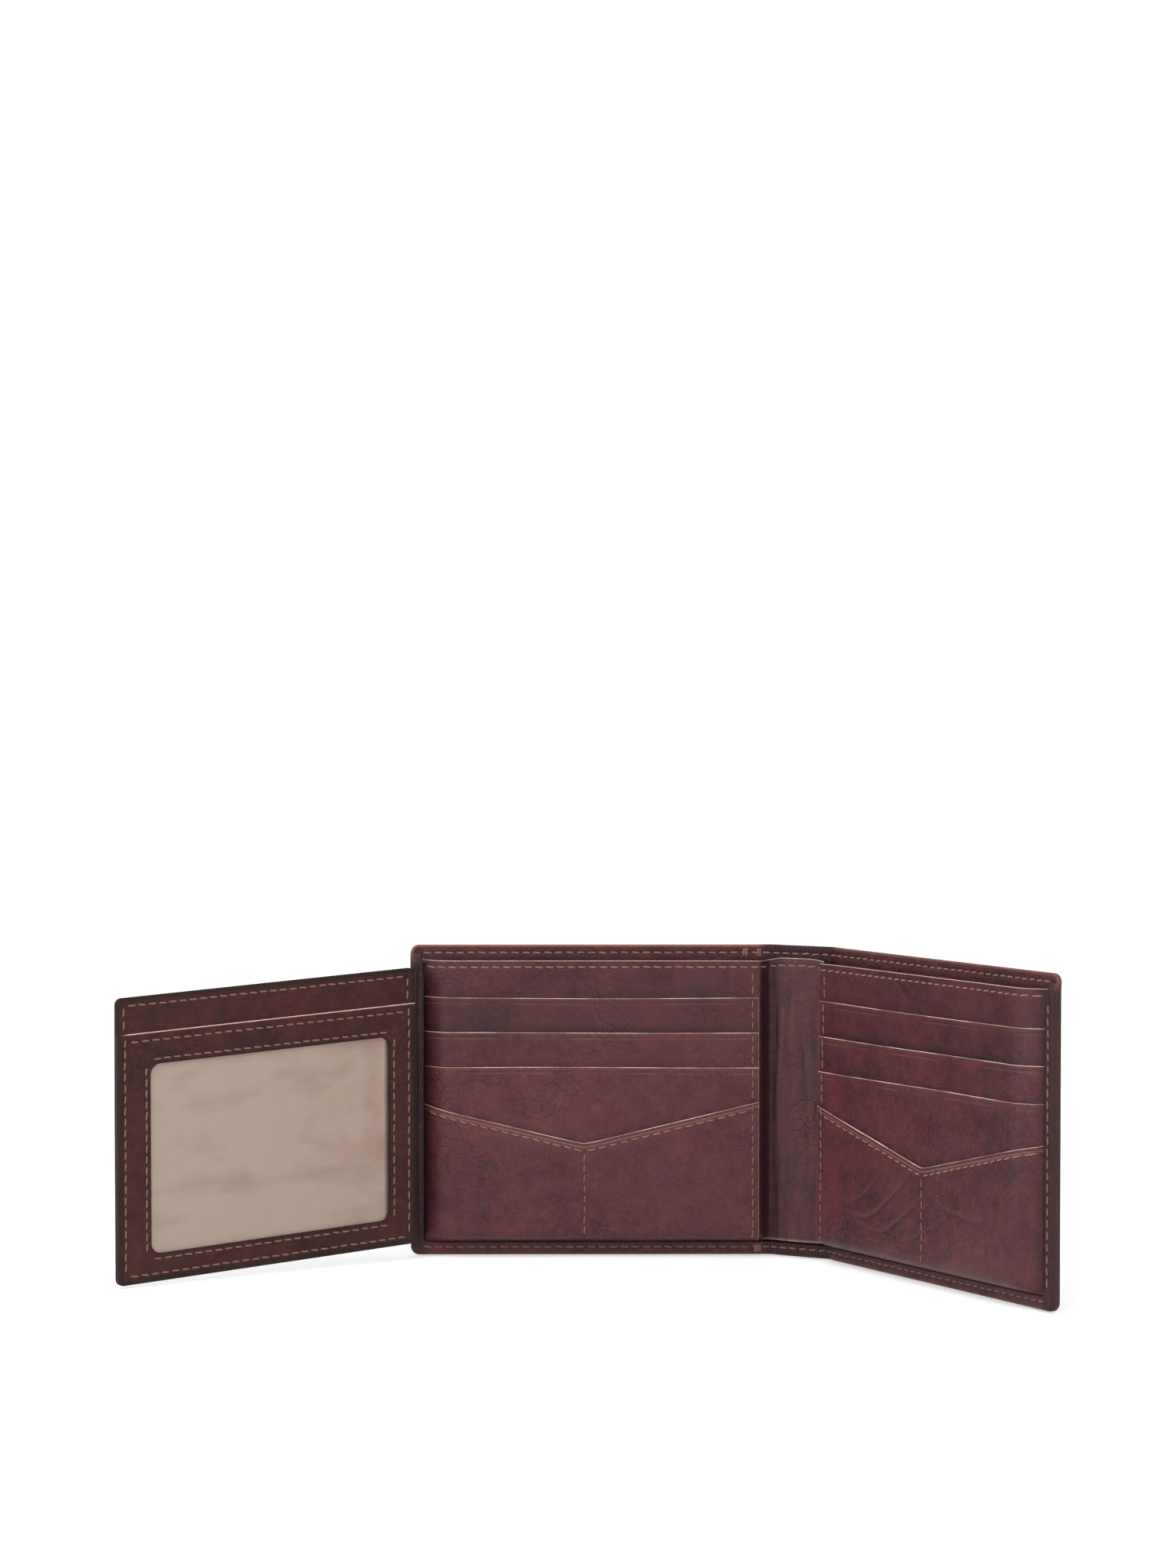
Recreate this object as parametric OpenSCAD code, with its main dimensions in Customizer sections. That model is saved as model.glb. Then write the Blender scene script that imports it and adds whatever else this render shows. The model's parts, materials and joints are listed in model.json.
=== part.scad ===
// Bifold wallet: two padded halves joined by a soft spine, eight card slots, a bill compartment
// along the back and a flip-out identity flap with a window. It stands part open on its lower edges.
//
// Frame: +Z is up. The origin is the middle of the left half's lower edge, and the inside of the
// left half faces -Y. Each half, the spine and the flap is drawn flat in its own frame:
// s (the +X axis) runs away from its fold, p (the -Y axis) runs from the outer face inwards.

/* [Shell] */
// Height of the shell
shell_h = 89; // [84:0.5:98]
// Width of one half, from its fold axis to its free edge
half_w = 103.4; // [100:0.2:115]
// Distance between the two fold axes
spine_w = 19.2; // [19:0.1:23]
// Angle of each of the two folds at rest, measured from flat
rest_fold = 29.4; // [0:0.2:60]
// Thickness of the cover leather
cover_t = 0.7; // [0.6:0.05:0.75]
// Thickness of the sewn side and lower edges
edge_t = 3.2; // [3:0.05:3.2]
// Width of the cover's hem, turned over the side and lower edges
hem_w = 4; // [3:0.1:5]
// Height of the cover's hem inside the top edge
top_hem_h = 10; // [6:0.5:14]
// Radius of the outer corners
corner_r = 2.5; // [1.5:0.1:4]

/* [Bill compartment] */
// Clear depth of the bill compartment
bill_gap = 4.25; // [4.2:0.05:4.3]
// Thickness of the stiffener board in each half
board_t = 0.35; // [0.2:0.05:0.35]
// Thickness of the lining cloth
cloth_t = 0.2; // [0.1:0.05:0.2]

/* [Card pockets] */
// Gap from the fold axis to the card panel
panel_s = 3.9; // [3.9:0.1:5]
// Width of the card panel
panel_w = 95.5; // [88:0.1:95.5]
// Height of the card panel's lower edge
panel_base = 4.1; // [4:0.1:5]
// Height of the card panel's top edge
panel_top = 84.8; // [82:0.1:86]
// Thickness of the backing leather
backing_t = 0.6; // [0.4:0.05:0.6]
// Thickness of each card leaf
leaf_t = 0.5; // [0.3:0.05:0.5]
// Height of the highest card slot
first_slot = 74.2; // [70:0.1:76]
// Height between one card slot and the next
slot_pitch = 9.85; // [9:0.05:11]
// Height of the front pocket's edge at the free side
v_free = 43.7; // [40:0.1:46]
// Height of the front pocket's edge at the spine side
v_spine = 44.8; // [40:0.1:46]
// Height of the front pocket's edge at its point
v_point = 32.8; // [28:0.1:38]
// Distance of the point from the middle of the panel, towards the free edge
v_shift = 2; // [-6:0.1:6]
// Length over which the leaves slope back into the side seam
slope_w = 9.5; // [7:0.5:14]

/* [Identity flap] */
// Width of the flap
flap_w = 92.4; // [86:0.1:92.4]
// Height of the flap
flap_h = 78.5; // [72:0.1:80]
// Height of the flap's lower corner at its hinge
flap_base = 4.75; // [4.7:0.05:6]
// Drop of the soft flap's free end
flap_sag = 4.5; // [0:0.1:4.6]
// Thickness of the flap
flap_t = 2.2; // [2:0.05:2.2]
// Angle of the flap at rest, measured forward from flat
flap_rest = 31; // [0:0.5:90]
// Radius of the flap's corners
flap_r = 1.8; // [1:0.1:3]
// Height of the plain band above the flap's slot
band_h = 10; // [8:0.1:12]
// Depth of the window's top edge below the flap's top
window_drop = 18.8; // [17:0.1:24]
// Leather between the window and the flap's lower edge
window_low = 7.7; // [6:0.1:12]
// Leather between the window and the flap's hinge edge
window_in = 8.5; // [7:0.1:12]
// Leather between the window and the flap's free edge
window_out = 10; // [7:0.1:14]
// Radius of the window's corners
window_r = 3; // [2:0.1:5]

/* [Stitching] */
// Length from one stitch to the next
stitch_pitch = 3.1; // [2.6:0.1:4]
// Length of one stitch
stitch_l = 2.35; // [1.6:0.05:2.4]
// Width of the thread
thread_w = 0.5; // [0.3:0.05:0.7]
// Height of the thread above the leather
thread_h = 0.1; // [0.05:0.01:0.12]

/* [Hidden] */

arc_steps = 6;          // straight steps in a rounded corner
ply_gap = 0.05;         // air between two plies of one body
fold_gap = 1.1;         // gap from a fold axis to the nearest leather
lower_hem_gap = 2.7;    // gap from a fold axis to a half's lower hem, clear of the folded spine
fold_p = 0.8;           // depth of the fold axes
back_y = edge_t / 2;    // outer face of the left half
fold_x = half_w / 2;    // fold axis of the left half

// Plies of the cover, from the outer face inwards
board_p = cover_t + ply_gap;
lining_p = board_p + board_t + ply_gap;
top_hem_t = 0.5;
top_hem_p = lining_p + top_hem_t;
stack_p = top_hem_p + bill_gap;

// Plies of the card panel: 0 is the lining, 1 the backing, 2 to 4 the leaves, 5 the front pocket
LINING = 0;
BACKING = 1;
FRONT = 5;
seam_p = top_hem_p + ply_gap;
seam_cloth_t = 0.15;
seam_leather_t = 0.3;
slope_s = panel_s + panel_w - slope_w;
seam_s = panel_s + panel_w;
tuck_s = half_w - cover_t - 0.1;
return_t = 0.8;         // the backing's turn at the foot of the bill compartment
v_s = panel_s + panel_w / 2 + v_shift;

// Inner leather of the spine
spine_panel_p = 3.6;
spine_panel_t = 0.7;
spine_panel_gap = 1.8;
spine_panel_base = 4.6;

// Flap: its own p is measured from the plane of its hinge axis
hinge_s = half_w - 1.8;
hinge_p = stack_p + cloth_t + backing_t + 4 * leaf_t + 5 * ply_gap + flap_t / 2 + 0.35;
flap_start = 0.4;
flap_end = flap_start + flap_w;
flap_face = flap_t / 2;
flap_back_t = 0.8;
flap_frame_t = 0.8;
flap_rim = 3;
band_tuck = 6;
strip_t = 0.5;
strip_flange = 1.95;
strip_p = edge_t + ply_gap;
strip_end = hinge_p - 1.4;
strip_base = flap_base + 1.5;
strip_h = flap_h - 3;

function unit(v) = v / norm(v);
function arc(centre, r, from, to) =
    [for (i = [0:arc_steps]) let (a = from + (to - from) * i / arc_steps)
        centre + r * [cos(a), sin(a)]];
function fillet(a, b, c, r) =
    let (u = unit(a - b), v = unit(c - b), half = acos(u * v) / 2,
        centre = b + unit(u + v) * r / sin(half),
        start = b + u * r / tan(half) - centre,
        from = atan2(start.y, start.x))
    arc(centre, r, from, from + 180 - 2 * half);
function rounded(points, r) =
    let (n = len(points))
    [for (i = [0:n - 1]) each fillet(points[(i + n - 1) % n], points[i], points[(i + 1) % n], r)];

function ply_t(i) = i == LINING ? cloth_t : i == BACKING ? backing_t : leaf_t;
function seam_t(i) = i == LINING ? seam_cloth_t : seam_leather_t;
function ply_p(i) = i == LINING ? stack_p : ply_p(i - 1) + ply_t(i - 1) + ply_gap;
function ply_seam_p(i) = i == LINING ? seam_p : ply_seam_p(i - 1) + seam_t(i - 1) + ply_gap;
function slot_z(i) = first_slot - (i - 1) * slot_pitch;

// Depth of a ply's face, and its slope, at the distance s from the fold
function slope_part(s) = max(0, (s - slope_s) / slope_w);
function face_p(i, s) =
    let (k = slope_part(s))
    (ply_p(i) + ply_t(i)) * (1 - k) + (ply_seam_p(i) + seam_t(i)) * k;
function face_tilt(i, s) =
    s < slope_s ? 0 : atan2(ply_p(i) + ply_t(i) - ply_seam_p(i) - seam_t(i), slope_w);

function flap_z(q, z) = flap_base + z - flap_sag * (q - flap_start) / flap_w;
function flap_box(q0, q1, z0, z1) =
    [[q0, flap_z(q0, z0)], [q1, flap_z(q1, z0)], [q1, flap_z(q1, z1)], [q0, flap_z(q0, z1)]];
window_box = flap_box(flap_start + window_in, flap_end - window_out, window_low, flap_h - window_drop);

// Where each body stands at rest
module at_left() translate([fold_x, back_y, 0]) mirror([1, 0, 0]) children();
module at_spine()
    translate([fold_x, back_y - fold_p, 0]) rotate([0, 0, -rest_fold]) translate([0, fold_p, 0]) children();
module at_right()
    at_spine() translate([spine_w, -fold_p, 0]) rotate([0, 0, -rest_fold]) translate([0, fold_p, 0]) children();
module at_flap()
    translate([fold_x - hinge_s, back_y - hinge_p, 0]) rotate([0, 0, flap_rest]) mirror([1, 0, 0]) children();

// An outline in (s, z), made solid from depth p0 to depth p1
module ply(p0, p1) translate([0, -p0, 0]) rotate([90, 0, 0]) linear_extrude(p1 - p0) children();
// A section in (s, p), made solid from height z0 to height z1
module section(z0, z1, points)
    translate([0, 0, z0]) linear_extrude(z1 - z0) polygon([for (q = points) [q.x, -q.y]]);
module bar(s0, s1, z0, z1) translate([s0, z0]) square([s1 - s0, z1 - z0]);

module half_outline(s0, inset = 0) {
    r = corner_r - inset;
    centre = half_w - corner_r;
    polygon(concat([[s0, inset]], arc([centre, corner_r], r, -90, 0),
        arc([centre, shell_h - corner_r], r, 0, 90), [[s0, shell_h - inset]]));
}

module cover_half() color("#5f3a37") {
    union() {
        ply(0, cover_t) half_outline(fold_gap);
        // walls round the lower and free edges
        ply(0, edge_t) difference() {
            half_outline(lower_hem_gap);
            half_outline(0, cover_t);
            bar(0, half_w - cover_t, cover_t, shell_h + 1);
        }
        // hem turned over to the front
        ply(edge_t - cover_t, edge_t) difference() {
            half_outline(lower_hem_gap);
            bar(0, half_w - hem_w, hem_w, shell_h + 1);
        }
        // top edge and its hem inside the bill compartment
        ply(0, top_hem_p) intersection() {
            half_outline(fold_gap);
            bar(0, half_w, shell_h - cover_t, shell_h);
        }
        ply(top_hem_p - top_hem_t, top_hem_p) intersection() {
            half_outline(fold_gap);
            bar(0, half_w, shell_h - top_hem_h, shell_h);
        }
    }
}

module cover_board() color("#8a7a66")
    ply(board_p, board_p + board_t) bar(fold_gap, tuck_s, cover_t + 0.2, shell_h - cover_t - 0.1);

module bill_lining() color("#3a2a26")
    ply(lining_p, lining_p + cloth_t)
        bar(fold_gap, tuck_s, cover_t + 0.2, shell_h - top_hem_h - 0.1);

// One ply of the card panel: flat, then sloping back into the side seam
module bent_ply(i, z0, z1, tuck = false) {
    p = ply_p(i);
    q = ply_seam_p(i);
    tucked = tuck ? [[tuck_s, q], [tuck_s, q + seam_t(i)]] : [];
    section(z0, z1, concat([[panel_s, p], [slope_s, p], [seam_s, q]], tucked,
        [[seam_s, q + seam_t(i)], [slope_s, p + ply_t(i)], [panel_s, p + ply_t(i)]]));
}

// The turn at a ply's foot, back to the cover, which closes the bill compartment
module foot(i, z0, z1)
    section(z0, z1, [[panel_s, lining_p + cloth_t + ply_gap], [seam_s, lining_p + cloth_t + ply_gap],
        [seam_s, ply_seam_p(i) + seam_t(i)], [slope_s, ply_p(i) + ply_t(i)], [panel_s, ply_p(i) + ply_t(i)]]);

module pocket_lining() color("#3a2a26") {
    base = panel_base + return_t + ply_gap;
    union() {
        bent_ply(LINING, base, panel_top - 0.4, tuck = true);
        foot(LINING, base, base + cloth_t);
    }
}

module backing_panel() color("#55302f") union() {
    bent_ply(BACKING, panel_base, panel_top, tuck = true);
    foot(BACKING, panel_base, panel_base + return_t);
}

module card_leaf(i) color("#5d3436") bent_ply(BACKING + i, panel_base, slot_z(i));

// The upper edge is a V, with its point at the distance v_s from the fold axis
module front_pocket() color("#63393b") intersection() {
    bent_ply(FRONT, panel_base, max(v_free, v_spine) + 1);
    ply(0, hinge_p) polygon([[0, 0], [half_w, 0], [half_w, v_free], [seam_s, v_free],
        [v_s, v_point], [panel_s, v_spine], [0, v_spine]]);
}

// A row of stitches between two points in (s, z), on the ply i of the card panel or at the depth p
module stitch_row(from, to, p = 0, i = -1) {
    run = norm(to - from);
    angle = atan2(to.y - from.y, to.x - from.x);
    count = max(1, floor(run / stitch_pitch));
    for (k = [0:count - 1]) {
        at = from + (to - from) * (k + 0.5) / count;
        depth = (i < 0 ? p : face_p(i, at.x)) + ply_gap / 5 + thread_h / 2;
        translate([at.x, -depth, at.y])
            rotate([0, 0, i < 0 ? 0 : face_tilt(i, at.x)])
                rotate([0, -angle, 0])
                    cube([min(stitch_l, 0.8 * run / count), thread_h, thread_w], center = true);
    }
}

module hem_thread(side_p, side_s) color("#96604a") {
    stitch_row([fold_gap + 1, shell_h - 2.3], [half_w - 3, shell_h - 2.3], p = top_hem_p);
    stitch_row([lower_hem_gap + 1, 2.4], [side_s - 1, 2.4], p = edge_t);
    stitch_row([side_s, 6.5], [side_s, shell_h - 8], p = side_p);
}

module panel_thread() color("#96604a") {
    stitch_row([panel_s + 3.5, panel_top - 1.9], [seam_s - 0.5, panel_top - 1.9], i = BACKING);
    // seam along the spine side, one stretch on each exposed ply
    seam = panel_s + 1.8;
    edges = [panel_top, slot_z(1), slot_z(2), slot_z(3), v_spine, panel_base];
    for (k = [0:4])
        stitch_row([seam, edges[k] - 0.6], [seam, edges[k + 1] + 0.8], i = BACKING + k);
}

module pocket_thread() color("#96604a") {
    drop = 2.2;
    stitch_row([panel_s + 3.5, v_spine - drop - 0.5], [v_s - 0.6, v_point - drop], i = FRONT);
    stitch_row([v_s + 0.6, v_point - drop], [seam_s - 0.5, v_free - drop], i = FRONT);
    stitch_row([v_s, v_point - drop - 0.8], [v_s, panel_base + 3], i = FRONT);
}

module cover_spine() color("#5f3a37") {
    s1 = spine_w - fold_gap;
    union() {
        ply(0, cover_t) bar(fold_gap, s1, 0, shell_h);
        ply(0, edge_t) bar(fold_gap, s1, 0, cover_t);
        ply(edge_t - cover_t, edge_t) bar(fold_gap, s1, 0, hem_w);
        ply(0, top_hem_p) bar(fold_gap, s1, shell_h - cover_t, shell_h);
        ply(top_hem_p - top_hem_t, top_hem_p) bar(fold_gap, s1, shell_h - top_hem_h, shell_h);
    }
}

module outer_cover_left() at_left() cover_half();
module cover_board_left() at_left() cover_board();
module bill_lining_left() at_left() bill_lining();
module pocket_lining_left() at_left() pocket_lining();
module backing_panel_left() at_left() backing_panel();
module card_leaf_1_left() at_left() card_leaf(1);
module card_leaf_2_left() at_left() card_leaf(2);
module card_leaf_3_left() at_left() card_leaf(3);
module front_pocket_left() at_left() front_pocket();
module hem_thread_left() at_left() hem_thread(strip_p + strip_t, half_w - 2.9);
module panel_thread_left() at_left() panel_thread();
module pocket_thread_left() at_left() pocket_thread();

module outer_cover_spine() at_spine() cover_spine();
module bill_lining_spine() color("#3a2a26") at_spine()
    ply(lining_p, lining_p + cloth_t)
        bar(fold_gap, spine_w - fold_gap, cover_t + 0.2, shell_h - top_hem_h - 0.1);
module inner_panel_spine() color("#4c2d2c") at_spine()
    ply(spine_panel_p, spine_panel_p + spine_panel_t)
        bar(spine_panel_gap, spine_w - spine_panel_gap, spine_panel_base, panel_top);
module hem_thread_spine() color("#96604a") at_spine() {
    stitch_row([fold_gap + 0.5, shell_h - 2.3], [spine_w - fold_gap - 0.5, shell_h - 2.3], p = top_hem_p);
    stitch_row([fold_gap + 0.5, 2.4], [spine_w - fold_gap - 0.5, 2.4], p = edge_t);
}

module outer_cover_right() at_right() cover_half();
module cover_board_right() at_right() cover_board();
module bill_lining_right() at_right() bill_lining();
module pocket_lining_right() at_right() pocket_lining();
module backing_panel_right() at_right() backing_panel();
module card_leaf_1_right() at_right() card_leaf(1);
module card_leaf_2_right() at_right() card_leaf(2);
module card_leaf_3_right() at_right() card_leaf(3);
module front_pocket_right() at_right() front_pocket();
module hem_thread_right() at_right() hem_thread(edge_t, half_w - 2.2);
module panel_thread_right() at_right() panel_thread();
module pocket_thread_right() at_right() pocket_thread();

module flap_back() color("#4e302f") at_flap()
    ply(-flap_face, flap_back_t - flap_face)
        polygon(rounded(flap_box(flap_start, flap_end, 0, flap_h), flap_r));

module flap_lining() color("#a8978a") at_flap()
    ply(flap_back_t - flap_face + ply_gap, flap_back_t - flap_face + ply_gap + cloth_t)
        polygon(flap_box(flap_start + flap_rim + 0.3, flap_end - flap_rim - 0.3, flap_rim + 0.3,
            flap_h - band_h - band_tuck - 0.3));

module flap_window_film() color("#cdbfae", 0.5) at_flap()
    ply(flap_face - flap_frame_t - ply_gap - cloth_t, flap_face - flap_frame_t - ply_gap)
        polygon(flap_box(flap_start + flap_rim + 0.3, flap_end - flap_rim - 0.3, flap_rim + 0.3,
            flap_h - band_h - band_tuck - 0.3));

// Leather band above the slot. Its lower part is tucked behind the window frame.
module flap_top_band() color("#4e302f") at_flap() {
    p0 = flap_back_t - flap_face + ply_gap;
    slot = flap_h - band_h;
    intersection() {
        union() {
            ply(p0, p0 + 0.5) polygon(flap_box(flap_start, flap_end, slot + 0.1, flap_h));
            ply(p0, p0 + 0.5)
                polygon(flap_box(flap_start + flap_rim + 0.3, flap_end - flap_rim - 0.3,
                    slot - band_tuck, slot + 1));
        }
        ply(-flap_face, flap_face) polygon(rounded(flap_box(flap_start, flap_end, 0, flap_h), flap_r));
    }
}

// Front leather of the flap, with the window cut out and a rim that reaches back to the back leather
module flap_window_frame() color("#4e302f") at_flap() {
    slot = flap_h - band_h;
    outer = flap_box(flap_start, flap_end, 0, flap_h);
    union() {
        ply(flap_face - flap_frame_t, flap_face) difference() {
            intersection() {
                polygon(rounded(outer, flap_r));
                polygon(flap_box(flap_start, flap_end, 0, slot));
            }
            polygon(rounded(window_box, window_r));
        }
        ply(flap_back_t - flap_face + ply_gap, flap_face) difference() {
            intersection() {
                polygon(rounded(outer, flap_r));
                polygon(flap_box(flap_start, flap_end, 0, slot));
            }
            polygon(flap_box(flap_start + flap_rim, flap_end - flap_rim, flap_rim, slot + 1));
        }
    }
}

// A stitch row on the flap, between two places given as distance from the hinge and height
module flap_row(q0, z0, q1, z1, p)
    stitch_row([q0, flap_z(q0, z0)], [q1, flap_z(q1, z1)], p = p);

module flap_edge_thread() color("#96604a") at_flap() {
    inset = 2.3;
    q0 = flap_start + inset;
    q1 = flap_end - inset;
    slot = flap_h - band_h;
    band_face = flap_back_t - flap_face + ply_gap + 0.5;
    flap_row(q0 + 1, inset, q1 - 1, inset, flap_face);
    flap_row(q0, inset + 1, q0, slot - 0.8, flap_face);
    flap_row(q1, inset + 1, q1, slot - 0.8, flap_face);
    flap_row(q0, slot + 0.8, q0, flap_h - inset, band_face);
    flap_row(q1, slot + 0.8, q1, flap_h - inset, band_face);
    flap_row(q0 + 1, flap_h - inset, q1 - 1, flap_h - inset, band_face);
}

module flap_slot_thread() color("#96604a") at_flap()
    flap_row(flap_start + 3.6, flap_h - band_h - 2, flap_end - 3.6, flap_h - band_h - 2, flap_face);

module flap_window_thread() color("#96604a") at_flap() {
    gap = 1.4;
    q0 = flap_start + window_in - gap;
    q1 = flap_end - window_out + gap;
    z0 = window_low - gap;
    z1 = flap_h - window_drop + gap;
    corner = 2;
    flap_row(q0 + corner, z0, q1 - corner, z0, flap_face);
    flap_row(q0 + corner, z1, q1 - corner, z1, flap_face);
    flap_row(q0, z0 + corner, q0, z1 - corner, flap_face);
    flap_row(q1, z0 + corner, q1, z1 - corner, flap_face);
}

// Soft strip, sewn to the free edge of the left half, that the flap hangs on
module flap_hinge_strip() color("#3f2626") at_left() {
    s1 = hinge_s + strip_t / 2;
    section(strip_base, strip_base + strip_h, [[s1 - strip_flange, strip_p], [s1, strip_p],
        [s1, strip_end], [s1 - strip_t, strip_end], [s1 - strip_t, strip_p + strip_t],
        [s1 - strip_flange, strip_p + strip_t]]);
}

outer_cover_left();
cover_board_left();
bill_lining_left();
pocket_lining_left();
backing_panel_left();
card_leaf_1_left();
card_leaf_2_left();
card_leaf_3_left();
front_pocket_left();
hem_thread_left();
panel_thread_left();
pocket_thread_left();
outer_cover_spine();
bill_lining_spine();
inner_panel_spine();
hem_thread_spine();
outer_cover_right();
cover_board_right();
bill_lining_right();
pocket_lining_right();
backing_panel_right();
card_leaf_1_right();
card_leaf_2_right();
card_leaf_3_right();
front_pocket_right();
hem_thread_right();
panel_thread_right();
pocket_thread_right();
flap_back();
flap_lining();
flap_window_film();
flap_top_band();
flap_window_frame();
flap_edge_thread();
flap_slot_thread();
flap_window_thread();
flap_hinge_strip();
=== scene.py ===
"""Looks of the bifold wallet: leather, seams, stitches and the window flap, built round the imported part.

Each piece is drawn flat in millimetres and then laid into place. Flat ground of the shell: x runs from
the free edge of the left half (negative) over the spine (0 to the spine's width) to the right half,
p is the depth from the outer face inwards, z is up. Flat ground of the flap: q runs from its hinge.
On one half, s is the distance from its fold axis.
"""

import json
import math
import random

import bmesh
import bpy
import numpy as np
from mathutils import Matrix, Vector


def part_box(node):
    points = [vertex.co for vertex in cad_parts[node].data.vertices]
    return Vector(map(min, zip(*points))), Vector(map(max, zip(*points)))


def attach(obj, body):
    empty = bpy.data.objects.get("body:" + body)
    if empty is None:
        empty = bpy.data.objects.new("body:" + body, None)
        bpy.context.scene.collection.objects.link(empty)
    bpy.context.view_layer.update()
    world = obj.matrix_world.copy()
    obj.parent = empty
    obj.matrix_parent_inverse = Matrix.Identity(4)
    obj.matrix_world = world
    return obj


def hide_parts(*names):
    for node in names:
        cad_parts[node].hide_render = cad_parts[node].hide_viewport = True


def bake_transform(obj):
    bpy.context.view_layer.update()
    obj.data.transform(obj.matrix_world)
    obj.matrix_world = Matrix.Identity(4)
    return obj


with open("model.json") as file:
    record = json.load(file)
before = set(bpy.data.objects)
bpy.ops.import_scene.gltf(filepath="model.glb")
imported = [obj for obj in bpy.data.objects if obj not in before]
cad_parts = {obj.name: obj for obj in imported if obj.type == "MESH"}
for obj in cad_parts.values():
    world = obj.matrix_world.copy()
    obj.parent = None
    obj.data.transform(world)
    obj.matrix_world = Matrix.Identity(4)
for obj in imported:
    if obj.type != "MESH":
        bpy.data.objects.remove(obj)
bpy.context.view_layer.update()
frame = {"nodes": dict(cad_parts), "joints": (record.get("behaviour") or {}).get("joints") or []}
random.seed(7)

# ---------------------------------------------------------------- sizes
MM = 0.001
joints = {joint["name"]: joint for joint in frame["joints"]}
left_axis = joints["fold_left"]["pos_m"]
right_axis = joints["fold_right"]["pos_m"]
flap_axis = joints["flap_hinge"]["pos_m"]
rest_fold = math.radians(-joints["fold_left"]["range_deg"][0])
rest_flap = math.radians(-joints["flap_hinge"]["range_deg"][0])
shell_low, shell_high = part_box("outer_cover_left")
backing_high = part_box("backing_panel_left")[1]

fold_x = left_axis[0] / MM
back_y = shell_high.y / MM
fold_p = back_y - left_axis[1] / MM
spine_w = math.hypot(right_axis[0] - left_axis[0], right_axis[1] - left_axis[1]) / MM
half_w = fold_x - shell_low.x / MM
shell_h = shell_high.z / MM
hinge_x = flap_axis[0] / MM
hinge_y = flap_axis[1] / MM

# Shell
corner_r = 2.5
hem_w = 4.0
top_hem_h = 10.0
spine_mid = spine_w / 2
bend = 4.5                       # half the length over which each fold turns

# Card panel
panel_s = 3.9
seam_s = 99.4
tuck_s = 102.5
slope_w = 9.5
panel_base = 4.1
panel_top = backing_high.z / MM
slots = [74.2, 64.35, 54.5]
v_free = 43.7
v_spine = 44.8
v_point = 32.8
v_shift = 2.0                    # point of the V from the middle of the panel, towards the free edge
v_s = (panel_s + seam_s) / 2 + v_shift
spine_leather_p = 3.95
seam_inset = 1.8                 # seam along the panel's spine side
pinch_p = 8.6                    # depth to which that seam draws the plies
top_row_drop = 1.9
v_row_drop = 2.2

# Plies: middle and thickness where they lie flat, then at the sewn edges
LINING, BACKING, LEAF_1, LEAF_2, LEAF_3, FRONT = range(6)
PLIES = [
    (6.0, 0.2, 1.73, 0.1),
    (6.45, 0.6, 1.93, 0.25),
    (7.05, 0.5, 2.15, 0.15),
    (7.6, 0.5, 2.32, 0.15),
    (8.15, 0.5, 2.49, 0.15),
    (8.68, 0.5, 2.74, 0.3),
]

# Flap
flap_start = 0.4
flap_w = 92.4
flap_end = flap_start + flap_w
flap_h = 78.5
flap_base = 4.75
flap_sag = 4.5
flap_r = 1.8
band_h = 10.0
flap_slot = flap_h - band_h
window_q = (flap_start + 8.5, flap_end - 10.0)
window_z = (7.7, flap_h - 18.8)
window_r = 3.0

# Thread
stitch_pitch = 3.1
stitch_l = 2.6
thread_w = 0.48
row_in = 2.3                     # a seam's distance from the edge it follows
lower_row_z = 2.4


# ---------------------------------------------------------------- laying flat ground into place
def smooth(t):
    t = np.clip(t, 0, 1)
    return t * t * (3 - 2 * t)


def turn(x, p, centre, angle):
    dx = x - centre
    dp = p - fold_p
    return (
        centre + dx * np.cos(angle) - dp * np.sin(angle),
        fold_p + dx * np.sin(angle) + dp * np.cos(angle),
    )


def lay_shell(points):
    x, p, z = points.T
    far = smooth((x - spine_w + bend) / (2 * bend)) * rest_fold
    near = smooth((x + bend) / (2 * bend)) * rest_fold
    x, p = turn(x, p, spine_w, far)
    x, p = turn(x, p, 0, near)
    return np.stack([fold_x + x, back_y - p, z], 1) * MM


def lay_flap(points):
    q, p, z = points.T
    c = math.cos(rest_flap)
    s = math.sin(rest_flap)
    drop = flap_sag * (q - flap_start) / flap_w
    return np.stack([hinge_x - q * c + p * s, hinge_y - q * s - p * c, flap_base + z - drop], 1) * MM


def side_x(side, s):
    """Distance s from a half's fold axis, as x on the flat ground."""
    return -s if side == "left" else spine_w + s


# ---------------------------------------------------------------- meshes
class Skin:
    """A closed mesh in the making: flat points, a pale mark and a dark mark at each, and faces. The pale mark
    holds worn edges and painted highlights, the dark mark dark seams, edge paint and painted shade.
    """

    def __init__(self):
        self.points = []
        self.marks = []
        self.faces = []
        self.count = 0

    def add(self, x, p, z, wear_and_highlight=0.0, dark=0.0):
        """Adds a grid or a list of points and gives their numbers, in the same shape."""
        x, p, z, wear_and_highlight, dark = np.broadcast_arrays(x, p, z, wear_and_highlight, dark)
        self.points.append(np.stack([x, p, z], -1).reshape(-1, 3))
        self.marks.append(np.stack([wear_and_highlight, dark], -1).reshape(-1, 2))
        numbers = np.arange(self.count, self.count + x.size).reshape(x.shape)
        self.count += x.size
        return numbers

    def quads(self, grid, close=False):
        if close:
            grid = np.concatenate([grid, grid[:, :1]], 1)
        a, b, c, d = grid[:-1, :-1], grid[:-1, 1:], grid[1:, 1:], grid[1:, :-1]
        self.faces += np.stack([a, b, c, d], -1).reshape(-1, 4).tolist()

    def slab(self, front, back):
        """Two grids of the same shape, closed round their rims."""
        self.quads(front)
        self.quads(back[:, ::-1])
        rims = []
        for grid in (front, back):
            rims.append(np.concatenate([grid[0, :-1], grid[:-1, -1], grid[-1, :0:-1], grid[:0:-1, 0]]))
        rim = np.stack(rims)
        self.quads(rim, close=True)


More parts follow.
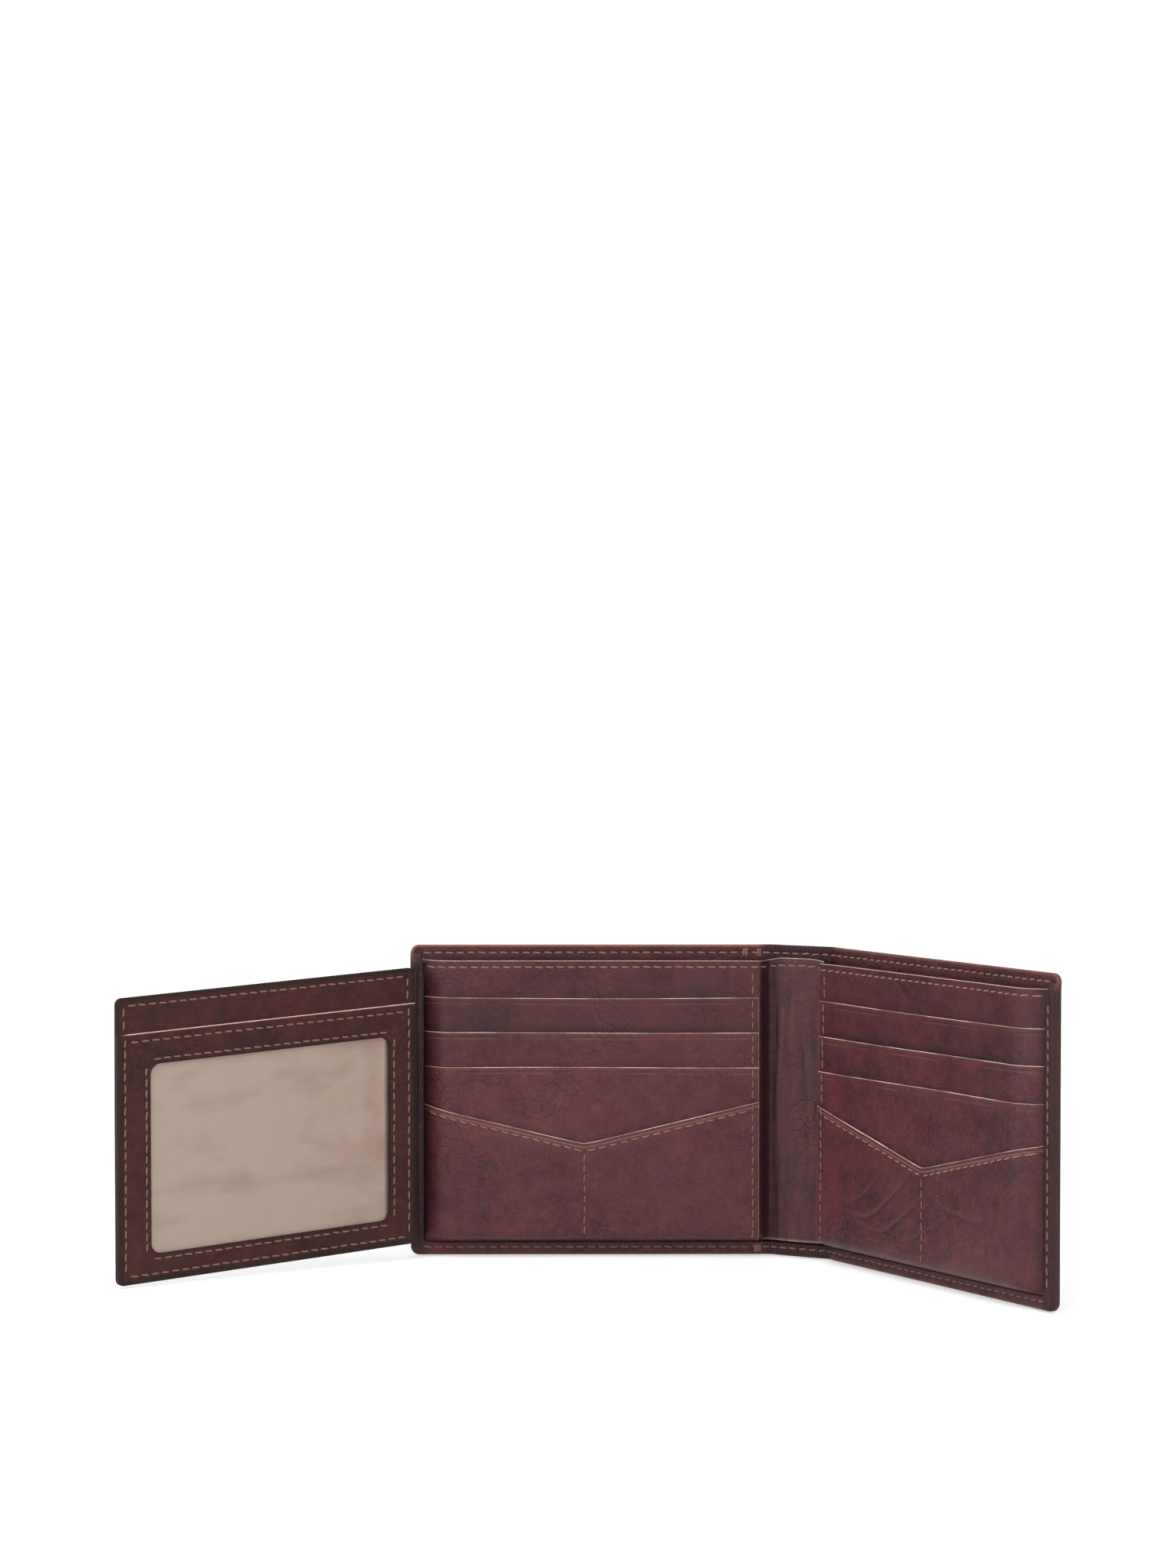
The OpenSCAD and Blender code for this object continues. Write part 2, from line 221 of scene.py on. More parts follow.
def build(name, skin, lay, material, sharp=52.0, fill=False):
    """Makes the object of a skin: laid in place, merged, closed, turned outwards and smooth."""
    flat = np.concatenate(skin.points)
    marks = np.concatenate(skin.marks)
    mesh = bpy.data.meshes.new(name)
    mesh.from_pydata(lay(flat).tolist(), [], skin.faces)
    mesh.attributes.new("grain", "FLOAT_VECTOR", "POINT").data.foreach_set("vector", flat.ravel())
    mesh.attributes.new("wear_and_highlight", "FLOAT", "POINT").data.foreach_set("value", marks[:, 0])
    mesh.attributes.new("dark", "FLOAT", "POINT").data.foreach_set("value", marks[:, 1])
    shape = bmesh.new()
    shape.from_mesh(mesh)
    bmesh.ops.remove_doubles(shape, verts=shape.verts, dist=0.004 * MM)
    bmesh.ops.dissolve_degenerate(shape, edges=shape.edges, dist=0.001 * MM)
    if fill:
        bmesh.ops.holes_fill(shape, edges=[e for e in shape.edges if e.is_boundary])
    bmesh.ops.recalc_face_normals(shape, faces=shape.faces)
    for face in shape.faces:
        face.smooth = True
    for edge in shape.edges:
        edge.smooth = edge.is_manifold and edge.calc_face_angle(0) < math.radians(sharp)
    shape.to_mesh(mesh)
    shape.free()
    obj = bpy.data.objects.new(name, mesh)
    bpy.context.scene.collection.objects.link(obj)
    mesh.materials.append(material)
    return obj


def bend_at(obj):
    """Bakes a piece's placement into its mesh, without attaching it to a body."""
    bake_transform(obj)


def stations(low, high, pitch, low_steps=(0,), high_steps=(0,)):
    """Places from low to high: fine steps in from each end and even ones between."""
    a = low + max(low_steps)
    b = high - max(high_steps)
    count = max(2, int(round((b - a) / pitch)) + 1)
    every = [low + d for d in low_steps] + [high - d for d in high_steps]
    return np.unique(np.round(np.concatenate([every, np.linspace(a, b, count)]), 4))


def ripple(x, z):
    """Slow unevenness of the leather, mostly sunk, within about a quarter millimetre."""
    return (
        0.08 * np.sin(x / 13 + 1.3) * np.sin(z / 17 + 0.4)
        + 0.05 * np.sin(x / 5.1 + z / 9 + 2)
        + 0.03 * np.sin(z / 4.3 - x / 11) - 0.06
    )


def ridge(d, at, width):
    """A soft bump of height 1 round d = at."""
    return np.exp(-(((d - at) / width) ** 2))


def cut_edge(d, r=0.22, least=0.55):
    """Share of the half thickness at the distance d from a cut edge."""
    t = 1 - np.clip(d / r, 0, 1)
    return least + (1 - least) * np.sqrt(1 - t * t)


# ---------------------------------------------------------------- materials
class Look:
    """Node helper for one material."""

    def __init__(self, name):
        self.material = bpy.data.materials.new(name)
        self.material.use_nodes = True
        self.tree = self.material.node_tree
        self.tree.nodes.clear()

    def node(self, kind, inputs=(), **settings):
        node = self.tree.nodes.new("ShaderNode" + kind)
        for key, value in settings.items():
            setattr(node, key, value)
        for key, value in dict(inputs).items():
            if isinstance(value, bpy.types.NodeSocket):
                self.tree.links.new(value, node.inputs[key])
            else:
                node.inputs[key].default_value = value
        return node

    def mark(self, name):
        return self.node("Attribute", attribute_name=name).outputs["Fac"]

    def grain(self):
        return self.node("Attribute", attribute_name="grain").outputs["Vector"]

    def noise(self, vector, scale, detail=2.0, rough=0.5):
        node = self.node("TexNoise", {"Vector": vector, "Scale": scale, "Detail": detail, "Roughness": rough})
        return node.outputs["Fac"]

    def cells(self, vector, scale, feature="F1"):
        node = self.node("TexVoronoi", {"Vector": vector, "Scale": scale}, feature=feature)
        return node.outputs["Distance"]

    def span(self, value, low, high, to_low=0.0, to_high=1.0):
        node = self.node("MapRange", {
            "Value": value, "From Min": low, "From Max": high, "To Min": to_low, "To Max": to_high,
        })
        return node.outputs["Result"]

    def calc(self, a, b, operation="MULTIPLY"):
        return self.node("Math", {0: a, 1: b}, operation=operation).outputs[0]

    def mix(self, share, a, b, blend="MIX"):
        return self.node("MixRGB", {"Fac": share, "Color1": a, "Color2": b}, blend_type=blend).outputs[0]

    def bump(self, height, depth, below=None):
        inputs = {"Height": height, "Distance": depth * MM, "Strength": 1.0}
        if below is not None:
            inputs["Normal"] = below
        return self.node("Bump", inputs).outputs["Normal"]

    def end(self, shader):
        self.node("OutputMaterial", {"Surface": shader.outputs[0]})
        return self.material


def tone(red, green, blue):
    """A colour from 0 to 255 per channel, as the shader wants it."""
    channels = []
    for value in (red, green, blue):
        value /= 255
        channels.append(value / 12.92 if value < 0.04045 else ((value + 0.055) / 1.055) ** 2.4)
    return (*channels, 1.0)


def leather(name, base, deep, warm, cool, shade, pale, gloss, specular):
    """Fine-grained leather: blotches, pebbled grain, creases painted darker as painted shade, pale marks for
    worn edges and painted highlights, and dark marks for dark seams, edge paint and painted shade.
    """
    look = Look(name)
    where = look.grain()
    blotch = look.span(look.noise(where, 0.045, 4, 0.6), 0.38, 0.66)
    patch = look.span(look.noise(where, 0.21, 5, 0.65), 0.42, 0.7)
    fleck = look.noise(where, 2.3, 3, 0.6)
    colour = look.mix(blotch, base, deep)
    colour = look.mix(look.calc(patch, 0.55), colour, warm)
    colour = look.mix(look.span(fleck, 0.35, 0.7, 0, 0.7), colour, deep)
    colour = look.mix(look.span(look.noise(where, 0.8, 4, 0.7), 0.5, 0.72, 0, 0.4), colour, warm)
    cloud = look.span(look.noise(where, 0.11, 4, 0.7), 0.5, 0.72, 0, 0.5)
    colour = look.mix(cloud, colour, cool)
    swirl = look.node("TexNoise", {"Vector": where, "Scale": 0.16, "Detail": 3.0})
    shift = look.node("VectorMath", {0: swirl.outputs["Color"], 1: (9, 9, 9)}, operation="MULTIPLY")
    moved = look.node("VectorMath", {0: where, 1: shift.outputs[0]}, operation="ADD").outputs[0]
    moved = look.node("VectorMath", {0: moved, 1: (0.8, 1, 1.7)}, operation="MULTIPLY").outputs[0]
    crease = look.span(look.cells(moved, 0.17, "DISTANCE_TO_EDGE"), 0.0, 0.06)
    smoothed = look.span(look.noise(where, 0.06, 2), 0.62, 0.46)
    crease = look.calc(crease, smoothed, "MAXIMUM")
    fine = look.span(look.cells(moved, 0.6, "DISTANCE_TO_EDGE"), 0.0, 0.12)
    pebble = look.cells(where, 2.1)
    # creases painted darker: painted shade in the grain's creases
    colour = look.mix(look.span(crease, 0, 1, 0.3, 0), colour, deep)
    # pale mark: worn edges and painted highlights; dark mark: dark seams, edge paint and painted shade
    wear_and_highlight = look.calc(look.mark("wear_and_highlight"), look.span(look.noise(where, 0.9, 3), 0.3, 0.6, 0.7, 1))
    colour = look.mix(wear_and_highlight, colour, look.mix(look.mark("wear_and_highlight"), tone(128, 74, 56), pale))
    colour = look.mix(look.mark("dark"), colour, shade)
    rough = look.span(look.noise(where, 0.5, 4, 0.6), 0.3, 0.7, gloss - 0.06, gloss + 0.12)
    rough = look.calc(rough, look.calc(look.mark("wear_and_highlight"), 0.12), "ADD")
    height = look.bump(pebble, 0.035)
    height = look.bump(fine, 0.02, height)
    height = look.bump(crease, 0.13, height)
    height = look.bump(fleck, 0.03, height)
    return look.end(look.node("BsdfPrincipled", {
        "Base Color": colour, "Roughness": rough, "Normal": height,
        "Specular IOR Level": specular,
    }))


def cloth(name, base, deep):
    """Plain-woven lining."""
    look = Look(name)
    where = look.grain()
    apart = look.node("SeparateXYZ", {"Vector": where})
    across = look.node("Math", {0: look.calc(apart.outputs[0], 14.0)}, operation="SINE").outputs[0]
    along = look.node("Math", {0: look.calc(apart.outputs[2], 14.0)}, operation="SINE").outputs[0]
    weave = look.calc(across, along)
    colour = look.mix(look.span(weave, -1, 1), deep, base)
    colour = look.mix(look.span(look.noise(where, 0.3, 4), 0.35, 0.7, 0, 0.5), colour, deep)
    return look.end(look.node("BsdfPrincipled", {
        "Base Color": colour, "Roughness": look.span(weave, -1, 1, 0.8, 0.65),
        "Normal": look.bump(weave, 0.05), "Sheen Weight": 0.15,
    }))


def fibre_board(name):
    """Pressed fibre stiffener, on the part's own node, so it takes its place from the object."""
    look = Look(name)
    place = look.node("TexCoord").outputs["Object"]
    strands = look.noise(place, 900.0, 6, 0.7)
    colour = look.mix(look.span(strands, 0.3, 0.7), tone(120, 104, 84), tone(150, 134, 112))
    colour = look.mix(look.span(look.noise(place, 60.0, 3), 0.4, 0.7, 0, 0.4), colour, tone(96, 82, 66))
    return look.end(look.node("BsdfPrincipled", {
        "Base Color": colour, "Roughness": look.span(strands, 0.3, 0.7, 0.75, 0.9),
        "Normal": look.bump(strands, 0.05),
    }))


def frosted_film(name):
    """Milky window film with soft smudges, and a painted shadow of the frame along its hinge-side edge."""
    look = Look(name)
    where = look.grain()
    smudge = look.span(look.noise(where, 0.07, 4, 0.6), 0.45, 0.68)
    speck = look.span(look.noise(where, 1.4, 3, 0.6), 0.58, 0.7)
    wave = look.noise(where, 0.12, 2, 0.4)
    apart = look.node("SeparateXYZ", {"Vector": where})
    lying = look.node("VectorMath", {0: where, 1: (0.35, 1, 1)}, operation="MULTIPLY").outputs[0]
    streak = look.span(look.noise(lying, 0.11, 3, 0.55), 0.5, 0.68)
    colour = look.mix(look.calc(smudge, 0.45), tone(156, 138, 124), tone(138, 119, 110))
    colour = look.mix(look.calc(streak, 0.4), colour, tone(118, 99, 86))
    blush = look.calc(look.span(apart.outputs[0], 34, 12), look.span(look.noise(where, 0.09, 2), 0.4, 0.6))
    colour = look.mix(look.calc(blush, 0.5), colour, tone(138, 98, 88))
    # painted shadow of the frame along the film's hinge-side edge
    colour = look.mix(look.span(apart.outputs[0], 10.4, 9.3, 0, 0.85), colour, tone(48, 28, 24))
    colour = look.mix(look.calc(speck, 0.2), colour, tone(130, 112, 100))
    film = look.node("BsdfPrincipled", {
        "Base Color": colour, "Roughness": look.span(smudge, 0, 1, 0.3, 0.45),
        "Normal": look.bump(wave, 0.25), "Specular IOR Level": 0.4,
    })
    clear = look.node("BsdfTransparent")
    share = look.span(smudge, 0, 1, 0.72, 0.86)
    blend = look.node("MixShader", {0: share, 1: clear.outputs[0], 2: film.outputs[0]})
    return look.end(blend)


def sewing_thread(name, base, deep):
    """Twisted two-ply thread: the strand mark runs along and round each stitch."""
    look = Look(name)
    where = look.grain()
    twist = look.node("Math", {0: look.mark("twist")}, operation="SINE").outputs[0]
    colour = look.mix(look.span(twist, -1, 1), deep, base)
    colour = look.mix(look.span(look.noise(where, 0.4, 3), 0.4, 0.65, 0, 0.5), colour, deep)
    # dark mark: painted shade on dimmed rows and where each stitch sinks in
    colour = look.mix(look.mark("dark"), colour, tone(24, 15, 13))
    return look.end(look.node("BsdfPrincipled", {
        "Base Color": colour, "Roughness": look.span(twist, -1, 1, 0.75, 0.55),
        "Normal": look.bump(twist, 0.05), "Sheen Weight": 0.2,
    }))


# The leathers' pale tones are for worn edges and painted highlights, their shade tones for dark seams, edge
# paint and painted shade.
PALE = tone(226, 194, 182)
INNER_SHADE = tone(27, 13, 18)
cover_leather = leather(
    "cover_leather_look", tone(72, 31, 35), tone(44, 18, 24), tone(90, 46, 41), tone(58, 34, 39),
    tone(22, 10, 13), tone(196, 158, 130), 0.42, 0.18)
inner_leather = leather(
    "inner_leather_look", tone(75, 34, 40), tone(46, 20, 27), tone(97, 46, 43), tone(66, 36, 49),
    INNER_SHADE, PALE, 0.44, 0.22)
flap_leather = leather(
    "flap_leather_look", tone(60, 29, 30), tone(38, 20, 22), tone(78, 40, 35), tone(46, 30, 28),
    tone(30, 23, 18), PALE, 0.46, 0.1)
# hinge strip: a darker, bluer copy of the leather, as painted shade for the gap between flap and panel
shaded_strip_leather = leather(
    "shaded_strip_leather_look", tone(56, 28, 34), tone(32, 17, 22), tone(68, 36, 38), tone(42, 28, 40),
    tone(14, 9, 12), tone(90, 80, 78), 0.5, 0.2)
lining_cloth = cloth("lining_cloth_look", tone(52, 40, 36), tone(30, 23, 21))
flap_cloth = cloth("flap_cloth_look", tone(134, 116, 102), tone(106, 90, 78))
board = fibre_board("board_look")
film = frosted_film("window_film_look")
thread = sewing_thread("thread_look", tone(146, 92, 66), tone(88, 52, 38))
hem_thread = sewing_thread("hem_thread_look", tone(150, 108, 94), tone(84, 56, 50))


# ---------------------------------------------------------------- card panel
def pinch(s):
    """Share of the stack's thickness that is left near the panel's spine-side seam."""
    return 1 - 0.55 * np.exp(-np.maximum(s - panel_s, 0) / 7)


def rise(s, z):
    """How far the panel stands up from its sewn edges: 0 at the seam, 1 where it lies flat."""
    side = 1 - (1 - np.clip((seam_s - s) / slope_w, 0, 1)) ** 2.2
    foot = 1 - (1 - np.clip((z - panel_base + 0.15) / 3.6, 0, 1)) ** 2.6
    return side * foot


def ply_middle(ply, side, s, z):
    flat, _, sewn, _ = PLIES[ply]
    flat = pinch_p + (flat - pinch_p) * pinch(s)
    up = rise(s, z)
    depth = sewn + (flat - sewn) * up + ripple(side_x(side, s), z) * up
    if ply == BACKING:
        on_panel = smooth((s + 1.2) / (panel_s + 1.2))
        depth = spine_leather_p + (depth - spine_leather_p) * on_panel
    return depth


def ply_thickness(ply, s, z):
    _, flat, _, sewn = PLIES[ply]
    flat = flat * pinch(s)
    up = rise(s, z)
    if ply == BACKING:
        up = 1 - (1 - up) * smooth((s + 1.2) / (panel_s + 1.2))
    return sewn + (flat - sewn) * up


def v_edge(s):
    """Height of the front pocket's upper edge, a V with a softened point."""
    to_spine = (v_spine - v_point) / (v_s - panel_s)
    to_free = (v_free - v_point) / (seam_s - v_s)
    d = s - v_s
    soft = 1.2
    away = np.sqrt(d * d + soft * soft) - soft * 0.6
    return v_point + away * np.where(d < 0, to_spine, to_free)


def top_edge(ply, s):
    if ply in (LINING, BACKING):
        arch = 0.8 * smooth((2 - s) / 8) * (ply == BACKING)
        return panel_top - 0.3 * (ply == LINING) + arch + s * 0
    if ply == FRONT:
        return v_edge(s)
    return slots[ply - LEAF_1] + 0.12 * np.sin(s / 17 + ply) + s * 0


def lift(ply, s, z):
    """The upper edge of each pocket stands off a little, away from its seams."""
    if ply in (LINING, BACKING):
        return 0 * z
    d = top_edge(ply, s) - z
    free = smooth((seam_s - s) / 22) * smooth((s - panel_s) / 14)
    return (0.1 if ply == FRONT else 0.2) * np.exp(-np.maximum(d, 0) / 4) * free


def wrinkles(side, s, z):
    """Fine creases pressed into the lower pocket."""
    if side == "left":
        paths = [(30, 17, 0.5, 15, 0.5), (72, 24, -0.4, 12, 0.4)]
    else:
        paths = [(34, 19, 0.55, 16, 1.2), (40, 15, 0.45, 14, 1.0), (29, 24, 0.7, 10, 0.8),
                 (66, 22, -0.3, 15, 0.8), (50, 13, 0.25, 18, 0.6)]
    total = 0 * s
    for at, height, tilt, reach, strength in paths:
        along = s - at
        line = height + tilt * along + 0.02 * along * along + 0.5 * np.sin(along / 3.1)
        total = total + strength * ridge(z, line, 0.55) * ridge(along, 0, reach)
    return total


def spine_folds(side, s, z):
    """Soft upright folds and a few slanting creases in the leather over the spine."""
    x = side_x(side, s)
    folds = [(2.3, 0.5, 9, 0.3, -1.0, 0.7), (4.4, 0.7, 13, 1.7, 0.8, 0.8), (6.6, 0.6, 8, 2.9, -0.9, 0.7),
             (8.9, 0.8, 15, 0.9, 0.9, 0.9), (11.1, 0.7, 10, 4.1, -1.0, 0.7), (13.2, 0.6, 12, 5.2, 0.7, 0.8),
             (15.6, 0.7, 9, 3.3, -1.0, 0.7), (17.3, 0.4, 14, 1.1, 0.5, 0.6)]
    total = 0 * (x + z)
    for at, sway, length, start, height, width in folds:
        strength = 0.4 + 0.45 * np.sin(z / (length * 0.9) + start * 2) + 0.3 * np.sin(z / 3.7 + at)
        middle = at + 1.6 * sway * np.sin(z / length + start) + 0.35 * np.sin(z / 4.1 + 3 * start)
        total = total + height * strength * ridge(x, middle, width)
    for at, height, tilt in ((5, 30, 2.2), (9, 24, 1.7), (12, 36, -2.4), (14, 18, 1.9), (7, 58, -3.0)):
        line = height + tilt * (x - at) + 0.7 * np.sin(x * 1.3 + at)
        total = total - 0.5 * ridge(z, line, 0.9) * ridge(x, at, 2.6)
    return total * smooth((x - 0.3) / 1.5) * smooth((spine_w - 0.3 - x) / 1.5)


def face_relief(ply, side, s, z, top):
    """Grooves under the seams, a pressed crease below each edge, and wrinkles, on a ply's face."""
    d = top - z
    relief = 0 * z
    if ply >= LEAF_1:
        relief = relief - 0.06 * ridge(d, 1.4, 0.2) - 0.09 * ridge(s, panel_s + seam_inset, 0.45)
    if ply == FRONT:
        relief = relief - 0.08 * ridge(d, v_row_drop, 0.5)
        relief = relief - 0.08 * ridge(s, v_s, 0.5) * smooth((d - 1) / 2)
        relief = relief - 0.2 * wrinkles(side, s, z)
    if ply == BACKING:
        relief = relief - 0.08 * ridge(d, top_row_drop, 0.45)
        relief = relief - 0.05 * ridge(s, panel_s + seam_inset, 0.45) + 0.22 * spine_folds(side, s, z)
    return relief


def ply_face(ply, side, s, z):
    """Depth of a ply's face, for what is sewn on it."""
    top = top_edge(ply, s)
    depth = ply_middle(ply, side, s, z) + ply_thickness(ply, s, z) / 2
    return depth + lift(ply, s, z) + face_relief(ply, side, s, z, top)


# Steps of the mesh in from a sheet's top, foot, spine-side and free edges
TOP_STEPS = (
    0, 0.04, 0.1, 0.2, 0.35, 0.6, 0.95, 1.2, 1.32, 1.4, 1.48, 1.6, 1.9, 2.1, 2.3, 2.6, 3.2, 4.2, 5.6, 7.2,
)
FOOT_STEPS = (0, 0.04, 0.1, 0.25, 0.5, 0.9, 1.4, 2, 2.8, 3.7, 4.8, 6.2, 8)
SIDE_STEPS = (0, 0.04, 0.1, 0.22, 0.5, 0.95, 1.3, 1.55, 1.8, 2.05, 2.3, 2.8, 3.6, 4.8)
SEAM_STEPS = (0, 0.05, 0.15, 0.3, 0.6, 1, 1.5, 2, 2.6, 3.3, 4.1, 5, 6, 7.2, 8.5)


def rows_between(low, high, middle_rows):
    """Heights of a sheet's rows at each station: fine from both edges and even between."""
    foot = [low + d for d in FOOT_STEPS]
    top = [high - d for d in reversed(TOP_STEPS)]
    a = foot[-1]
    b = top[0]
    between = [a + (b - a) * k / (middle_rows + 1) for k in range(1, middle_rows + 1)]
    return np.array(foot + between + top)


def panel_sheet(ply, side):
    """One ply of a half's card panel, as a closed sheet with cut edges."""
    start = -spine_mid if ply == BACKING else panel_s
    end = tuck_s if ply <= BACKING else seam_s
    if ply == BACKING:
        spine_part = stations(start, panel_s, 0.4)
        s = np.unique(np.concatenate([spine_part, stations(panel_s, end, 2.2, SIDE_STEPS, SEAM_STEPS)]))
    elif ply == FRONT:
        near_point = v_s + np.array([-0.9, -0.55, -0.3, -0.15, 0, 0.15, 0.3, 0.55, 0.9])
        s = np.unique(np.concatenate([stations(start, end, 0.8, SIDE_STEPS, SEAM_STEPS), near_point]))
    else:
        s = stations(start, end, 2.2, SIDE_STEPS, SEAM_STEPS)
    base = panel_base + 0.12 * np.sin(s / 9)
    if ply == BACKING:
        base = base + 0.5 * smooth((panel_s - s) / 3)
    if ply == LINING:
        base = base + 0.5
    top = top_edge(ply, s)
    z = rows_between(base, top, 28 if ply == FRONT else 22)
    s = np.broadcast_to(s, z.shape)
    top = np.broadcast_to(top, z.shape)
    d_top = top - z
    d_foot = z - base
    d_start = np.full_like(z, 9.0) if ply == BACKING else s - start
    d_end = end - s
    d = np.minimum(np.minimum(d_top, d_foot), np.minimum(d_start, d_end))
    half = ply_thickness(ply, s, z) / 2 * cut_edge(d)
    middle = ply_middle(ply, side, s, z) + lift(ply, s, z)
    # Pale mark: the pale cut edge along the top, partly painted highlight, with a painted highlight on the
    # crease ridge below it and a painted glow fading down from the edge
    broken = smooth(0.5 + 0.6 * np.sin(s / 6.1 + ply * 2) + 0.5 * np.sin(s / 2.3 + ply))
    shine = (0.5 + 0.4 * broken) * ridge(d_top, 0, 0.13) + 0.24 * ridge(d_top, 1.75, 0.16) * broken
    shine = shine + 0.1 * np.exp(-np.maximum(d_top, 0) / 1.6)
    # painted shade in the pressed crease below the edge
    dark = 0.25 * ridge(d_top, 1.4, 0.14) * (0.4 + 0.6 * broken)
    if ply == BACKING:
        # Backing: pale cut edges, with painted highlights on the foot over the spine and on the fold crests;
        # painted shadow of the left panel over the spine, and painted shade in the fold hollows and in the
        # stitch groove
        folds = spine_folds(side, s, z)
        shine = 0.8 * ridge(d_top, 0, 0.15) + 0.45 * ridge(d_foot, 0.2, 0.5) * smooth((panel_s - s) / 2)
        shine = shine + 0.1 * np.clip(folds, 0, 1)
        shade = 0.36 if side == "left" else 0.0
        dark = shade * smooth((panel_s - s) / 1.5) * smooth((s + 8) / 8)
        dark = dark + 0.36 * np.clip(-folds, 0, 1)
        dark = dark + 0.4 * ridge(d_top, top_row_drop, 0.2)
    if ply >= LEAF_1:
        # painted highlight along the spine-side cut edge; painted shade in the seam's stitch groove
        shine = np.maximum(shine, 0.55 * ridge(d_start, 0, 0.16))
        dark = dark + 0.35 * ridge(s, panel_s + seam_inset, 0.2)
    if ply == FRONT:
        # painted highlights on the crease below the V edge and beside the wrinkles; painted shade in the
        # wrinkles, the stitch grooves and the middle row, and a darker band just below the edge
        crease = wrinkles(side, s, z)
        shine = shine + 0.3 * ridge(d_top, 1.15, 0.2) + 0.12 * wrinkles(side, s, z - 0.6)
        dark = dark + 0.4 * ridge(d_top, v_row_drop, 0.2) + 0.4 * ridge(d_top, 0.6, 0.16) + 0.45 * crease
        dark = dark + 0.4 * ridge(s, v_s, 0.2) * smooth((d_top - 1) / 2)
    # painted shade where the panel slopes down under the free hem and the foot hem
    dark = dark + 0.5 * smooth((s - seam_s + 2.2) / 2) + 0.25 * smooth((2.2 - d_foot) / 2)
    dark = dark + {BACKING: 0.24, LEAF_1: 0.26, LEAF_2: 0.08}.get(ply, 0)
    # painted shadow just above the edge of the ply in front
    if ply <= LEAF_3 and ply != LINING:
        above = slots[ply - BACKING] if ply < LEAF_3 else v_edge(s)
        near = z - above
        dark = dark + 0.75 * np.exp(-np.maximum(near, 0) / 0.45) * (near > -0.6) * (s > panel_s)
    dark = np.clip(dark * (1 - np.clip(shine, 0, 1)), 0, 0.9)
    skin = Skin()
    x = side_x(side, s)
    relief = face_relief(ply, side, s, z, top)
    front = skin.add(x, middle + half + relief, z, np.clip(shine, 0, 1), dark)
    back = skin.add(x, middle - half, z, 0.8 * ridge(d, 0, 0.1), 0.2)
    skin.slab(front, back)
    return skin


# ---------------------------------------------------------------- cover
BACK_IN = 6.0
TOP_IN = 12.0
# The cover's section as (inset from the edge, depth), first at the side and lower edges
SIDE_PROFILE = [
    (BACK_IN, 0), (3, 0), (2.7, 0), (2.35, 0.07), (2, 0.01), (1.6, 0.02), (0.9, 0.1), (0.4, 0.32),
    (0.1, 0.7), (0, 1.1), (0, 2.1), (0.1, 2.55), (0.32, 2.93), (0.7, 3.13), (1.2, 3.2), (1.9, 3.2),
    (2.2, 3.13), (2.4, 3.09), (2.6, 3.13), (2.9, 3.2), (3.4, 3.2), (3.75, 3.14), (3.93, 3.0), (4.0, 2.85),
    (3.95, 2.62), (3.8, 2.5), (2.5, 2.5), (0.9, 2.5), (0.7, 2.3), (0.7, 0.9), (0.9, 0.7), (3, 0.7),
    (BACK_IN, 0.7),
]
TOP_PROFILE = [
    (TOP_IN, 0), (6, 0), (2.7, 0), (2.35, 0.07), (2, 0.01), (1.6, 0), (0.8, 0.03), (0.3, 0.15), (0.08, 0.4),
    (0, 0.7), (0, 1.15), (0.06, 1.35), (0.2, 1.52), (0.42, 1.62), (0.9, 1.65), (1.8, 1.65), (2.1, 1.58),
    (2.3, 1.54), (2.5, 1.58), (2.8, 1.65), (5, 1.65), (9.6, 1.63), (9.85, 1.54), (10, 1.4), (9.95, 1.25),
    (9.8, 1.16), (5, 1.15), (0.9, 1.15), (0.7, 1.05), (0.7, 0.9), (0.9, 0.7), (6, 0.7), (TOP_IN, 0.7),
]


def edge_path():
    """Stations round the edge: along the lower and top edges, and up the free edge."""
    run = np.concatenate([
        stations(-spine_mid, 6, 0.22), stations(6, half_w - BACK_IN, 3)[1:],
        stations(half_w - BACK_IN, half_w - corner_r, 0.9)[1:],
    ])
    climb = np.concatenate([
        stations(corner_r, BACK_IN, 1), stations(BACK_IN, shell_h - TOP_IN, 3)[1:],
        stations(shell_h - TOP_IN, shell_h - corner_r, 0.8)[1:],
    ])
    return run, climb


